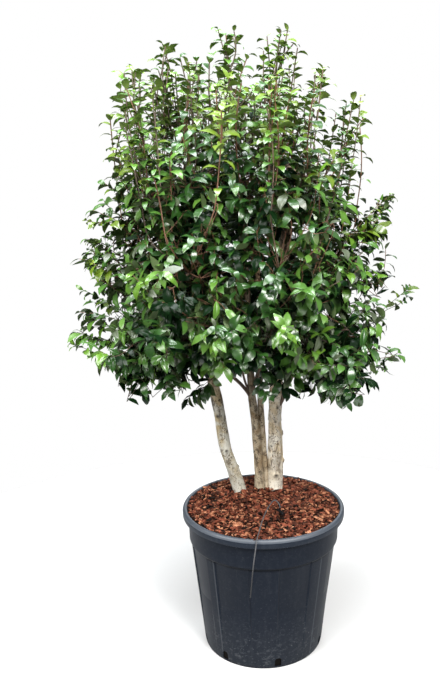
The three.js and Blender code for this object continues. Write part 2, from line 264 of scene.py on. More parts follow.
potSettings = {
    "sides": 576, "wallRings": 56, "height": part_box("pot")[1].z, "rim": 0.361, "lip": 0.020, "band": 0.038,
    "collar": 0.333, "collarFoot": 0.503, "base": 0.268, "wallTop": 0.327, "wall": 0.005,
    # edges of the pressed-in panels, in degrees from the front towards +X, by pairs of start and end
    "panels": ((-39.2, -10.3), (11.8, 38.2), (61.0, 88.0), (103.0, 130.0), (154.0, 180.5), (195.0, 222.0),
               (246.0, 272.0), (287.0, 311.3)),
    "panelDepth": 0.006, "edge": 0.6,
    "notches": (-72, -37.9, 13.5, 68, 112, 164, 216, 256),  # degrees too
    "notchWidth": 0.030, "notchFoot": 0.007, "notchHeight": 0.042, "notchCut": 0.02,
    "wornHighlights": ((-41.0, -40.0), (49.0, 50.2)),  # the ribs with lighter stripes, by their edges in degrees: painted highlight where the edges catch the light, with some scuffing
    "lipHighlightDepth": 0.016,  # how far down the lip's lighter finish goes, a painted highlight on its upward faces
}


def wallRadius(height):
    s = potSettings
    return s["base"] + (s["wallTop"] - s["base"]) * height / s["collarFoot"]


def potProfile():
    s = potSettings
    base, collar, rim, foot, top = s["base"], s["collar"], s["rim"], s["collarFoot"], s["height"]
    under, lip, inside = top - s["band"], rim - s["lip"], collar - s["wall"]
    outer = [(0.0, 0.0), (base - 0.02, 0.0), (base - 0.006, 0.0), (base - 0.0015, 0.0015), (base, 0.006)]
    outer += [(wallRadius(z), z) for z in np.linspace(0.012, foot - 0.008, s["wallRings"])]
    step = [(collar - 0.003, foot - 0.004), (collar - 0.001, foot - 0.001), (collar, foot + 0.003),
            (collar + 0.0005, foot + 0.02), (collar + 0.0025, under - 0.02), (collar + 0.003, under - 0.003)]
    band = [(collar + 0.006, under), (rim - 0.004, under), (rim - 0.0015, under + 0.0015),
            (rim - 0.0006, under + 0.005), (rim - 0.0002, under + 0.018), (rim, top - 0.014),
            (rim - 0.0013, top - 0.0075), (rim - 0.0042, top - 0.0028), (rim - 0.0085, top - 0.0003)]
    inner = [(lip + 0.008, top), (lip + 0.0035, top - 0.0012), (lip + 0.0008, top - 0.004),
             (lip, top - 0.009), (inside + 0.003, under - 0.012), (inside, foot + 0.006),
             (s["wallTop"] - s["wall"], foot - 0.006), (base - s["wall"], 0.006), (0.0, 0.006)]
    return np.array(outer + step + band + inner)


def panelShare(degrees):
    # 1 inside a pressed-in panel, 0 on the ribs between, with short slopes at the edges
    share = np.zeros_like(degrees)
    for start, end in potSettings["panels"]:
        for turn in (-360, 0, 360):
            inside = np.minimum(degrees - (start + turn), (end + turn) - degrees) / potSettings["edge"]
            share = np.maximum(share, np.clip(inside + 0.5, 0, 1))
    return share


def notchCutter():
    s = potSettings
    corners = ((-0.5, 0), (0.5, 0), (0.5, 0.75), (0.3, 1), (-0.3, 1), (-0.5, 0.75))
    points, faces = [], []
    for turn in s["notches"]:
        angle = math.radians(turn)
        out = np.array([math.sin(angle), -math.cos(angle), 0])
        side = np.array([math.cos(angle), math.sin(angle), 0])
        first = len(points)
        for across, up in corners:
            for depth in (-s["notchCut"], s["notchCut"]):
                points.append(out * (s["base"] + depth) + side * across * s["notchWidth"]
                              + np.array([0, 0, s["notchFoot"] + up * s["notchHeight"]]))
        loop = range(len(corners))
        faces.append(tuple(first + 2 * j + 1 for j in loop))
        faces.append(tuple(first + 2 * j for j in reversed(loop)))
        for j in loop:
            m = (j + 1) % len(corners)
            faces.append((first + 2 * j, first + 2 * m, first + 2 * m + 1, first + 2 * j + 1))
    return meshPiece("notch_cutter", points, faces)


def makePot():
    s = potSettings
    count = s["sides"]
    angles = roundAngles(count)
    share = panelShare((np.degrees(angles) + 180) % 360 - 180)
    rings = []
    for radius, height in potProfile():
        if radius == 0:
            continue
        depth = 0.0
        onWall = radius > s["base"] - 0.002 and radius >= wallRadius(height) - 0.0005
        if onWall and 0.006 < height < s["collarFoot"] - 0.006:
            depth = s["panelDepth"] * np.clip((height - 0.03) / 0.3, 0, 1)
            depth *= np.clip((s["collarFoot"] - 0.006 - height) / 0.004, 0.0, 1)
        r = radius - depth * share
        rings.append(np.stack([r * np.sin(angles), -r * np.cos(angles), np.full(count, height)], 1))
    points = np.vstack(rings + [np.array([[0, 0, 0.0], [0, 0, 0.006]])])
    under, inside = len(points) - 2, len(points) - 1
    last = (len(rings) - 1) * count
    pairs = [(k, (k + 1) % count) for k in range(count)]
    faces = [tuple(f) for f in ringFaces(len(rings), count)]
    faces += [(under, b, a) for a, b in pairs] + [(inside, last + a, last + b) for a, b in pairs]
    pot = meshPiece("nursery_pot", points, faces, sharp=32)

    cutter = notchCutter()
    cut = pot.modifiers.new("notches", "BOOLEAN")
    cut.object = cutter
    cut.operation = "DIFFERENCE"
    cut.solver = "EXACT"
    bpy.context.view_layer.update()
    final = bpy.data.meshes.new_from_object(pot.evaluated_get(bpy.context.evaluated_depsgraph_get()))
    pot.modifiers.clear()
    pot.data = final
    bpy.data.objects.remove(cutter)
    return pot


def potFinish(name, specular, dark, light, rough=0.36):
    f = Finish(name, specular=specular)
    place = f.place()
    height = f.height(place)
    low = 1 - f.band(height, 0.0, 0.32)
    streaks = f.noise(f.place((9.0, 9.0, 0.6)), 6.0, 3.0)
    cloud = f.noise(place, 5.0, 4.0)
    fine = f.noise(place, 260.0, 3.0)
    scuff = f.band(f.noise(f.place((1.0, 1.0, 1.8)), 34.0, 6.0, 0.7), 0.52, 0.72)
    speck = f.band(f.noise(place, 150.0, 2.0), 0.64, 0.74)
    smudge = f.band(f.noise(place, 70.0, 5.0, 0.75), 0.48, 0.68)
    scratch = f.band(f.noise(f.place((5.0, 5.0, 0.35)), 26.0, 2.0), 0.68, 0.73)
    dust = (low * (0.2 + 1.5 * scuff) * 0.55 + 0.08 * f.band(streaks, 0.5, 0.8) + speck * (0.25 + 1.1 * low)
            + scratch * (0.08 + 0.3 * low) + smudge * 0.09)
    # painted shade: a dark line in the corner under the collar
    foot = potSettings["collarFoot"]
    collarShade = f.band(height, foot - 0.022, foot - 0.006) * (1 - f.band(height, foot - 0.002, foot + 0.002))
    base = f.mix(collarShade * 0.75, f.mix(cloud, dark, light), (0.0015, 0.002, 0.003))
    f.set(colour=f.mix(dust * 0.45 * (1 - collarShade), base, (0.13, 0.14, 0.15)),
          rough=rough + 0.12 * cloud + 0.2 * dust,
          normal=f.bump(fine + 0.6 * scuff, 0.18, 0.0006))
    return f.material


potFinishes = [
    potFinish("pot_wall", 0.05, (0.0050, 0.0075, 0.013), (0.0090, 0.012, 0.0185)),
    potFinish("pot_band", 0.10, (0.006, 0.0095, 0.0165), (0.012, 0.0170, 0.027)),
    # the lip's upward faces: the same plastic in a lighter colour, a painted highlight
    potFinish("pot_lip_highlight", 1.0, (0.020, 0.029, 0.045), (0.040, 0.052, 0.071), 0.50),
    # lighter stripes on two ribs: painted highlight, with some scuffing
    potFinish("pot_worn_highlight", 0.12, (0.009, 0.0125, 0.018), (0.038, 0.044, 0.054), 0.45),
]
pot = makePot()
pot.data.materials.clear()
for material in potFinishes:
    pot.data.materials.append(material)
for face in pot.data.polygons:
    below = potSettings["height"] - face.center.z
    turn = math.degrees(math.atan2(face.center.x, -face.center.y))
    if below < potSettings["lipHighlightDepth"] and face.normal.z > 0.05:
        face.material_index = 2
    elif below < potSettings["band"] + 0.002:
        face.material_index = 1
    elif face.center.z < potSettings["collarFoot"] - 0.01:
        face.material_index = 3 * any(start < turn < end for start, end in potSettings["wornHighlights"])
place(pot, "pot", "pot")
print("pot", len(pot.data.polygons))


mulchSettings = {
    "chips": 5400, "seed": 11, "radius": 0.332,
    "length": (0.009, 0.027), "width": (0.35, 0.8), "thick": (0.0025, 0.007),  # width as a share of length
    "long": 0.05, "longer": 1.6,  # the share of chips that are longer, and by how much
    "tilt": 0.28, "roll": 0.75, "lift": (-0.007, 0.013), "shake": 0.35, "bend": 0.22,
    "finishes": (0.43, 0.20, 0.25, 0.12),  # each finish's share
    "stray": (-0.034, -0.349, potSettings["height"] + 0.004),  # one lies on the lip
}


def treeOf(node):
    points, triangles = nodeMesh(node)
    return BVHTree.FromPolygons(points.tolist(), triangles.tolist())


def nodeMesh(node):
    mesh = node.data
    mesh.calc_loop_triangles()
    points = np.zeros(len(mesh.vertices) * 3, np.float32)
    mesh.vertices.foreach_get("co", points)
    corners = np.zeros(len(mesh.loop_triangles) * 3, np.int32)
    mesh.loop_triangles.foreach_get("vertices", corners)
    return points.reshape(-1, 3).astype(float), corners.reshape(-1, 3)


def chipFinish(name, dark, light, grey):
    f = Finish(name, rough=0.82, specular=0.15)
    place = f.place()
    grain = f.noise(place, 55.0, 3.0)
    fibre = f.noise(f.place((3.0, 1.0, 3.0)), 260.0, 3.0)
    tone = f.mix(f.band(grain, 0.35, 0.65), dark, light)
    f.set(colour=f.mix(f.band(f.noise(place, 140.0, 2.0), 0.62, 0.75) * 0.7, tone, grey),
          normal=f.bump(fibre, 0.5, 0.0012))
    return f.material


def makeMulch():
    s = mulchSettings
    rng = np.random.default_rng(s["seed"])
    count = s["chips"]
    reach = np.sqrt(rng.random(count)) * s["radius"]
    turn = rng.random(count) * 2 * math.pi
    length = rng.uniform(*s["length"], count)
    length = np.where(rng.random(count) < s["long"], length * s["longer"], length)
    width = length * rng.uniform(*s["width"], count)
    thick = rng.uniform(*s["thick"], count)
    heading = rng.random(count) * 2 * math.pi
    axis = unit(np.stack([np.cos(heading), np.sin(heading), rng.normal(0, s["tilt"], count)], 1))
    up = unit(np.stack([rng.normal(0, s["roll"], count), rng.normal(0, s["roll"], count), np.ones(count)], 1))
    side = unit(np.cross(up, axis))
    up = np.cross(axis, side)
    centre = np.stack([reach * np.cos(turn), reach * np.sin(turn), np.zeros(count)], 1)
    bed = treeOf(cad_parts["mulch"])
    for spot in centre:
        # dropped on to the bed; those that would land in a stem's or the dripper's hole stay at its brim
        hit = bed.ray_cast(Vector((spot[0], spot[1], 1.0)), Vector((0, 0, -1)))[0]
        spot[2] = max(hit.z if hit else 0.0, potSettings["height"] - 0.012)
    centre[:, 2] += rng.uniform(*s["lift"], count) * np.where(reach > 0.3, 0.5, 1.0)
    centre[0] = s["stray"]
    # a chip is a slab with four slanting corners at each end
    corners = np.array([[-1, -0.55, -1], [-0.8, 0.7, -1], [0.9, 0.6, -1], [1, -0.5, -1],
                        [-0.85, -0.6, 0.7], [-0.9, 0.45, 0.9], [0.75, 0.7, 0.8], [0.95, -0.35, 0.6]])
    shake = 1 + rng.uniform(-s["shake"], s["shake"], (count, 8, 3))
    local = corners[None] * shake * np.stack([length, width, thick], 1)[:, None] * 0.5
    bend = s["bend"] * rng.normal(0, 1, count)[:, None] * (local[..., 0] ** 2) / length[:, None]
    points = (centre[:, None] + local[..., 0:1] * axis[:, None] + local[..., 1:2] * side[:, None]
              + (local[..., 2] + bend)[..., None] * up[:, None])
    box = np.array([[3, 2, 1, 0], [4, 5, 6, 7], [1, 5, 4, 0], [2, 6, 5, 1], [3, 7, 6, 2], [0, 4, 7, 3]])
    faces = (box[None] + 8 * np.arange(count)[:, None, None]).reshape(-1, 4)
    kinds = rng.choice(4, count, p=s["finishes"])
    return points.reshape(-1, 3), faces, np.repeat(kinds, 6)


chipFinishes = [
    chipFinish("chips_red", (0.072, 0.018, 0.009), (0.220, 0.062, 0.034), (0.40, 0.20, 0.14)),
    chipFinish("chips_tan", (0.17, 0.058, 0.028), (0.45, 0.205, 0.112), (0.78, 0.54, 0.40)),
    chipFinish("chips_brown", (0.032, 0.011, 0.007), (0.10, 0.032, 0.018), (0.20, 0.10, 0.070)),
    chipFinish("chips_dark", (0.003, 0.002, 0.0015), (0.013, 0.007, 0.005), (0.05, 0.032, 0.025)),
]
chipPoints, chipFaces, chipKinds = makeMulch()
chips = meshPiece("bark_chips", chipPoints, chipFaces, chipFinishes, chipKinds)
place(chips, "mulch")

plainSolids = {  # the CAD solids that stay in view, and what they are made of
    "dripper": speckled("dripper_finish", 0.18, 0.8, 90.0, (0.004, 0.004, 0.005), (0.012, 0.012, 0.013)),
    "mulch": speckled("mulch_bed_finish", 0.95, 0.05, 120.0, (0.005, 0.003, 0.002), (0.022, 0.009, 0.006)),
    # dark soil, made near black as painted shade where it shows inside the notches
    "root_ball": speckled("soil_shade_finish", 0.95, 0.05, 70.0, (0.003, 0.003, 0.003), (0.010, 0.008, 0.007)),
}
for name, material in plainSolids.items():
    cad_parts[name].data.materials.clear()
    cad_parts[name].data.materials.append(material)
print("mulch", len(chipFaces))


stemSettings = {
    "sides": 40, "step": 0.006, "seed": 5,
    "thinnest": 3.0, "flareReach": 0.04,  # mm and m
    "waves": 10, "swell": (0.015, 0.038),  # the bark's hollows and swellings, as shares of the radius
}
soilTop = 0.5754
# routes in mm from the soil's level: those of the CAD stems, and more of each inside the crown;
# a scar has its height in m, its turn from the front towards +X and its size in mm
stems = {
    "stem_left": {
        "route": [(-94, 116, 0), (-106, 116, 60), (-117, 115, 105), (-140, 114, 186), (-167, 112, 267),
                  (-184, 111, 347), (-195, 110, 427), (-206, 109, 505), (-222, 107, 582), (-234, 104, 700),
                  (-250, 100, 860), (-270, 96, 1020)],
        "more": [(-300, 92, 1240), (-345, 88, 1500)],
        "foot": 30.5, "tip": 19, "flare": 4,
        "scars": [(0.86, 0.15, 8), (0.95, 0.9, 7), (1.03, -0.3, 9), (1.10, 0.5, 7), (0.77, 1.9, 6)],
    },
    "stem_right": {
        "route": [(54, 146, 0), (55, 146, 60), (56, 144, 190), (54, 142, 330), (53, 140, 470), (56, 138, 560),
                  (65, 136, 760), (72, 134, 900), (80, 132, 1050)],
        "more": [(96, 116, 1270), (122, 90, 1540)],
        "foot": 34, "tip": 26, "flare": 4,
        "girth": [(0, 34), (109, 33), (171, 34), (233, 37.5), (294, 34), (414, 27.5)],
        "scars": [(0.735, 0.1, 10), (0.80, 1.2, 8), (0.93, 1.35, 9), (0.99, 0.0, 6), (1.06, 0.3, 6),
                  (0.88, -0.5, 6)],
    },
    "stem_centre": {
        "route": [(-20, 134, 0), (-19, 134, 90), (-25, 132, 230), (-34, 130, 370), (-47, 126, 490),
                  (-53, 124, 560), (-61, 120, 700), (-67, 118, 850), (-73, 114, 1000)],
        "more": [(-90, 84, 1240), (-118, 40, 1560)],
        "foot": 22, "tip": 14, "flare": 6,
        "scars": [(0.75, 0.2, 6), (0.90, -0.4, 6), (1.02, 0.4, 5)],
    },
    "stem_slim": {
        "route": [(16, 150, 0), (12, 149, 110), (1, 148, 260), (-8, 146, 400), (-14, 144, 520),
                  (-18, 142, 640), (-20, 140, 800), (-24, 136, 960)],
        "more": [(-26, 170, 1200), (-30, 230, 1500)],
        "foot": 17, "tip": 11, "flare": 5,
        "scars": [(0.82, 0.5, 5), (0.97, 0.1, 5)],
    },
}
boughs = {
    "bough_left": {
        "route": [(-58, 122, 530), (-72, 116, 556), (-108, 112, 600), (-165, 100, 655), (-235, 84, 730),
                  (-330, 60, 830)],
        "foot": 8.5, "tip": 4.5},
    "bough_thin": {
        "route": [(-60, 120, 555), (-74, 114, 580), (-88, 110, 625), (-103, 104, 700), (-118, 96, 800),
                  (-140, 60, 930)],
        "foot": 5.5, "tip": 3},
    "bough_inner": {
        "route": [(-52, 118, 560), (-41, 110, 592), (-26, 100, 650), (-4, 86, 730), (16, 70, 830),
                  (30, 20, 960)],
        "foot": 8, "tip": 4.5},
    "bough_right": {
        "route": [(64, 134, 480), (84, 126, 518), (101, 116, 570), (130, 100, 640), (175, 80, 740),
                  (250, 60, 850)],
        "foot": 12, "tip": 6},
}


def inMetres(route):
    return np.array(route, float) / 1000 + np.array([0, 0, soilTop])


def barkFinish(name, foot, middle, top, mark):
    f = Finish(name, specular=0.25)
    place = f.place()
    height = f.height(place)
    low = 1 - f.band(height, 0.66, 0.84)
    high = f.band(height, 1.02, 1.24)
    patch = f.noise(place, 17.0, 5.0, 0.6, 0.5)
    blotch = f.band(f.noise(f.place((1.0, 1.0, 0.55)), 46.0, 5.0, 0.6, 0.6), 0.53, 0.62)
    streak = f.noise(f.place((1.0, 1.0, 0.2)), 90.0, 5.0, 0.65)
    cells = f.node("TexVoronoi", {}, {"Vector": f.place((1.0, 1.0, 1.4)), "Scale": 120.0})
    dots = (1 - f.band(cells, 0.20, 0.40)) * f.band(f.noise(place, 22.0, 2.0), 0.42, 0.54)
    stripe = f.band(f.noise(f.place((1.0, 1.0, 0.16)), 24.0, 4.0, 0.6, 0.4), 0.55, 0.66)
    scar = f.node("Attribute", {"attribute_name": "scar"}, {}, 2)
    tone = f.mix(f.band(patch, 0.40, 0.60), middle, foot)
    tone = f.mix(low * 0.85, tone, foot)
    tone = f.mix(high * f.band(patch + 0.4 * streak, 0.50, 0.85), tone, top)
    tone = f.mix(f.band(streak, 0.50, 0.68) * 0.4, tone, mark)
    tone = f.mix(stripe * (0.5 - 0.2 * low), tone, mark)
    tone = f.mix(blotch * (0.68 - 0.35 * low), tone, mark)
    tone = f.mix(dots * (1.0 - 0.3 * low), tone, mark)
    f.set(colour=f.mix(scar, tone, (0.018, 0.013, 0.010)),
          rough=0.70 + 0.2 * patch,
          normal=f.bump(streak - 0.8 * dots - 0.5 * blotch + 0.6 * patch, 0.6, 0.003))
    return f.material


barkColoursAndLight = {  # near the foot, in the middle, at the top, and of the marks; the stems' tones also carry painted light, the right stem's made lighter as if lit more and the left's darker
    "stem_left": ((0.50, 0.49, 0.43), (0.37, 0.30, 0.18), (0.40, 0.27, 0.17), (0.050, 0.032, 0.016)),
    "stem_right": ((0.74, 0.70, 0.61), (0.64, 0.53, 0.36), (0.60, 0.43, 0.30), (0.070, 0.042, 0.020)),
    "stem_centre": ((0.46, 0.39, 0.28), (0.24, 0.17, 0.095), (0.026, 0.017, 0.012), (0.028, 0.018, 0.011)),
    "stem_slim": ((0.54, 0.46, 0.34), (0.36, 0.27, 0.16), (0.28, 0.145, 0.08), (0.065, 0.038, 0.020)),
}


def lengthOf(path):
    return np.linalg.norm(np.diff(path, axis=0), axis=1).sum()


def makeStem(name):
    s = stems[name]
    t = stemSettings
    rng = np.random.default_rng(t["seed"] + sorted(stems).index(name))
    route = inMetres(s["route"] + s["more"])
    length = lengthOf(route)
    path = smoothRoute(route, int(length / t["step"]))
    along = np.linspace(0, length, len(path))
    share = along / lengthOf(inMetres(s["route"]))
    radius = np.where(share < 1, s["foot"] + (s["tip"] - s["foot"]) * share, s["tip"] * (1.35 - 0.35 * share))
    if "girth" in s:
        heights, sizes = zip(*s["girth"])
        radius = np.where(along * 1000 < heights[-1], np.interp(along * 1000, heights, sizes), radius)
    radius = (np.maximum(radius, t["thinnest"]) + s["flare"] * np.exp(-along / t["flareReach"])) / 1000
    waves = [(rng.uniform(1, 5), rng.uniform(8, 60), rng.uniform(0, 6.28), rng.uniform(*t["swell"]))
             for _ in range(t["waves"])]
    turns = roundAngles(t["sides"])
    _, side, up = framesAlong(path)

    def scarReach(height, turn, size):
        # distance from a scar's middle, in its own sizes
        ring = int(np.argmin(np.abs(path[:, 2] - height)))
        front = np.array([math.sin(turn), -math.cos(turn), 0])
        middle = math.atan2(up[ring].dot(front), side[ring].dot(front))
        gap = (turns[None] - middle + math.pi) % (2 * math.pi) - math.pi
        return np.hypot(gap * radius[ring] * 1000 / size, (along[:, None] - along[ring]) * 1000 / size)

    scars = [scarReach(*scar) for scar in s["scars"]]

    def relief(angles):
        z = along[:, None]
        a = angles[None]
        value = np.ones((len(path), len(angles)))
        for lobes, pitch, phase, size in waves:
            fade = 0.6 + 0.4 * np.sin(pitch * 0.7 * z + phase)
            value += size * np.sin(round(lobes) * a + pitch * z + phase) * fade
        value += 0.02 * np.sin(2 * a + 0.6) * np.exp(-z / 0.1)
        for reach in scars:
            # a raised collar round a sunken middle
            value += 0.20 * np.exp(-((reach - 0.95) / 0.5) ** 2) - 0.14 * np.exp(-(reach / 0.6) ** 2)
        return value

    points, faces = tube(path, radius, t["sides"], relief=relief)
    bark = barkFinish(name.replace("stem", "bark"), *barkColoursAndLight[name])
    piece = meshPiece(name + "_bark", points, faces, [bark], sharp=60)
    dark = np.max([np.exp(-(reach / 0.85) ** 4) for reach in scars], axis=0)
    layer = piece.data.attributes.new("scar", "FLOAT", "POINT")
    layer.data.foreach_set("value", dark.ravel().astype(np.float32))
    place(piece, "bark", name)
    return path, radius


stemPaths = {name: makeStem(name) for name in stems}
print("stems")


growth = {
    "seed": 3, "spraySpacing": 0.066,
    "twigRadius": 0.0014, "shootRadius": 0.0024, "boughFrom": 0.0035, "pipe": 2.4,
    "redFrom": 1.55, "greyFrom": 2.15,  # the heights where twigs turn from brown to red and then to grey
    "crownFoot": 1.22, "crownMiddle": (-0.10, 0.05, 1.75), "axis": (-0.115, 0.05),
    "riseFrom": 1.25, "riseOver": 0.75,  # sprays point further up from here, over this height
    "leaderFoot": 2.12, "leaderGaps": 0.25, "longest": 0.14,
    # what makes a place to branch from dearer: a way to the target that rises too little or turns back,
    # each with its weight and the least it should be, and a place below the crown
    "flatWay": (0.9, 0.35), "backWay": (0.35, 0.4), "belowCrown": 9.0,
    # where sprays point: the parts of the skin's normal, of outwards and of upwards, the last two with
    # what the rise adds, and the scatter
    "aim": {"normal": 0.45, "outward": (0.62, -0.35), "up": (-0.12, 1.45), "scatter": 0.2},
    # the outer sprays: how far each may stand in or out, and its length
    "outer": {"leader": ((-0.04, 0.05), (0.16, 0.28)), "body": ((-0.05, 0.045), (0.10, 0.20))},
    # the crown swells and sinks in clumps, and this share of the sprays is left out between them
    "clumpSize": 0.19, "swell": 0.035, "sink": 0.13, "gapFrom": 0.62, "gapShare": 0.5,
    "thinFrom": 0.24, "thinShare": 0.32,  # and this share to the right of here
    # sprays on the underside are lifted so much, and those left of and below the first two by the third
    "underLift": 0.05, "lowLeft": (-0.28, 1.32, 0.03),
    "inner": {"count": 620, "depth": (0.10, 0.26), "scatter": 0.03, "length": 0.12, "leaves": (5, 8)},
    # shoots by their length, kind, number of leaves and the share that is bare
    "shoots": {"leader": (0.46, "leader", 18, 0.12), "side": (0.26, "side", 11, 0.1),
               "top": (0.34, "leader", 14, 0.08), "hanging": (0.14, "hanging", 9, 0.25)},
    "openTop": {"count": 51, "reach": 0.51, "middle": (-0.125, 0.04), "height": 2.49, "most": 2.60,
                "rimDrop": 0.15, "frontDrop": 0.15, "lean": 0.28, "length": (0.28, 0.42), "leaves": (11, 16)},
    # side shoots that no node stands for: each one's tip, and how steeply it rises
    "sideTips": (((-0.79, 0.05, 1.49), 0.4), ((-0.80, 0.05, 1.41), 0.3), ((-0.745, 0.08, 1.80), 0.6),
                 ((0.535, 0.10, 1.985), 1.0), ((-0.655, 0.04, 2.03), 0.7), ((0.50, 0.02, 1.93), 0.9)),
    "hangingTips": ((0.34, -0.14, 1.16), (0.28, -0.12, 1.18), (-0.28, -0.10, 1.18), (0.015, -0.21, 1.215),
                    (0.055, -0.20, 1.235), (-0.01, -0.22, 1.26), (0.10, -0.16, 1.215), (0.16, -0.14, 1.22),
                    (-0.33, -0.05, 1.14)),
    "topTips": ((-0.615, 0.0, 2.375), (0.135, 0.02, 2.57), (0.095, 0.03, 2.635), (0.07, 0.0, 2.57),
                (-0.18, 0.02, 2.64), (-0.15, 0.03, 2.56), (0.0, 0.03, 2.56), (-0.33, 0.0, 2.53),
                (0.335, 0.0, 2.21), (0.355, -0.03, 2.10), (0.30, 0.10, 2.33), (-0.40, 0.02, 2.585),
                (0.235, 0.02, 2.49), (-0.525, 0.02, 2.495), (-0.575, 0.03, 2.415)),
    # no spray ends in these bays of the outline: from and to along x, then along z
    "bays": (((0.50, 1.0), (1.37, 1.55)), ((-1.0, -0.67), (1.20, 1.36)), ((0.36, 0.60), (2.12, 2.2)),
             ((-1.0, -0.655), (2.15, 2.36)), ((0.40, 1.0), (1.10, 1.28)), ((-0.62, -0.36), (1.0, 1.235)),
             ((-1.0, -0.58), (1.15, 1.29)), ((0.255, 1.0), (2.40, 2.7)), ((0.17, 1.0), (2.50, 2.7)),
             ((-1.0, -0.56), (2.42, 2.6)), ((-1.0, -0.60), (2.34, 2.42)), ((0.44, 1.0), (1.27, 1.33)),
             ((-1.0, -0.63), (2.07, 2.16))),
}
upwards = np.array([0, 0, 1])
rng = np.random.default_rng(growth["seed"])


class Skeleton:
    def __init__(self):
        self.points = []
        self.parents = []
        self.fixed = []
        self.least = []
        self.ways = []

    def line(self, path, parent=-1, radii=None, least=growth["twigRadius"]):
        first = len(self.points)
        for i, point in enumerate(path):
            self.points.append(np.asarray(point, float))
            self.parents.append(parent if i == 0 else len(self.points) - 2)
            self.fixed.append(None if radii is None else float(radii[i]))
            self.least.append(least)
            self.ways.append(unit(path[min(i + 1, len(path) - 1)] - path[max(i - 1, 0)]))
        return first

    def cache(self):
        self.grid = np.array(self.points)
        self.heads = np.array(self.ways)

    def seat(self, target):
        # the point to branch from: near, inside the crown, and below the target rather than above it
        away = target - self.grid
        distance = np.linalg.norm(away, axis=1)
        rise = away[:, 2] / np.maximum(distance, 1e-6)
        forward = (away * self.heads).sum(1) / np.maximum(distance, 1e-6)
        flatCost, leastRise = growth["flatWay"]
        backCost, leastForward = growth["backWay"]
        inCrown = target[2] > growth["crownFoot"] + 0.2
        flat = np.clip(leastRise - rise, 0, None) * (flatCost if inCrown else 0.0)
        cost = distance * (1 + flat + backCost * np.clip(leastForward - forward, 0, None))
        return int(np.argmin(cost + growth["belowCrown"] * (self.grid[:, 2] < growth["crownFoot"])))

    def reach(self, target, way, step=0.045, pull=0.35):
        parent = self.seat(target)
        start = self.points[parent]
        gap = np.linalg.norm(target - start)
        if gap < 0.004:
            return parent
        if unit(target - start).dot(unit(way)) < 0.3:
            pull = 0.12
        lead = unit(self.ways[parent] * 0.5 + unit(target - start))
        a = start + lead * gap * pull
        b = target - unit(way) * gap * pull
        count = max(2, int(round(gap / step)) + 1)
        t = np.linspace(0, 1, count)[1:, None]
        path = (1 - t) ** 3 * start + 3 * (1 - t) ** 2 * t * a + 3 * (1 - t) * t ** 2 * b + t ** 3 * target
        path[:, 2] = np.maximum(path[:, 2], min(start[2], target[2]) - 0.006)
        self.line(path, parent)
        return len(self.points) - 1


skeleton = Skeleton()
for path, radius in stemPaths.values():
    keep = np.arange(0, len(path), 7)
    skeleton.line(path[keep], -1, radius[keep])
stemCount = len(skeleton.points)
for bough in boughs.values():
    path = smoothRoute(inMetres(bough["route"]), 16)
    skeleton.line(path, -1, np.linspace(bough["foot"], bough["tip"], 16) / 1000)

crownNodes = {name: node for name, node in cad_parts.items() if name.startswith("foliage_")}
shootNodes = {name: node for name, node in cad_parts.items() if "_shoot_" in name}
allPoints, allFaces = [], []
centres = {}
for name, node in sorted(crownNodes.items()):
    points, triangles = nodeMesh(node)
    centres[name] = points.mean(0)
    allFaces.append(triangles + sum(len(p) for p in allPoints))
    allPoints.append(points)
crownPoints = np.vstack(allPoints)
crownFaces = np.vstack(allFaces)
crownTree = BVHTree.FromPolygons(crownPoints.tolist(), crownFaces.tolist())
crownMiddle = np.array(growth["crownMiddle"])


def isOuter(point, normal, reach=0.35):
    return crownTree.ray_cast(Vector(point + normal * 0.003), Vector(normal), reach)[0] is None


def surfaceSeats(spacing):
    # points on the crown's outer faces, no two closer than the spacing
    a, b, c = (crownPoints[crownFaces[:, k]] for k in range(3))
    normals = np.cross(b - a, c - a)
    area = np.linalg.norm(normals, axis=1) / 2
    normals = unit(normals)
    tries = int(area.sum() / spacing ** 2 * 7)
    picks = rng.choice(len(area), tries, p=area / area.sum())
    u, v = rng.random(tries), rng.random(tries)
    flip = u + v > 1
    u[flip], v[flip] = 1 - u[flip], 1 - v[flip]
    spots = a[picks] + (b - a)[picks] * u[:, None] + (c - a)[picks] * v[:, None]
    kept, ways, cells = [], [], {}
    for spot, pick in zip(spots, picks):
        key = tuple((spot / spacing).astype(int))
        near = [p for dx in (-1, 0, 1) for dy in (-1, 0, 1) for dz in (-1, 0, 1)
                for p in cells.get((key[0] + dx, key[1] + dy, key[2] + dz), ())]
        if near and np.min(np.linalg.norm(np.array(near) - spot, axis=1)) < spacing:
            continue
        if not isOuter(spot, normals[pick]):
            continue
        cells.setdefault(key, []).append(spot)
        kept.append(spot)
        ways.append(normals[pick])
    return np.array(kept), np.array(ways)


seats, seatNormals = surfaceSeats(growth["spraySpacing"])
print("seats", len(seats))

# boughs to the middle of each mass, then branches out towards its skin
skeleton.cache()
for centre in sorted(centres.values(), key=lambda spot: spot[2]):
    out = unit((centre - crownMiddle) * np.array([1, 1, 0.3]))
    target = centre - out * 0.05 + rng.normal(0, 0.02, 3)
    skeleton.reach(target, unit(out + upwards * 0.6), 0.06)
    skeleton.cache()
subSeats = rng.permutation(len(seats))[: len(seats) // 7]
order = np.argsort(np.linalg.norm(seats[subSeats] - crownMiddle, axis=1))
for i in subSeats[order]:
    inward = seats[i] - seatNormals[i] * rng.uniform(0.13, 0.2)
    skeleton.reach(inward, unit(seatNormals[i] + upwards * 0.4), 0.05)
    skeleton.cache()
print("skeleton", len(skeleton.points))


sprays = []  # each has its twig's path, the kind and number of its leaves, and how much of it is bare


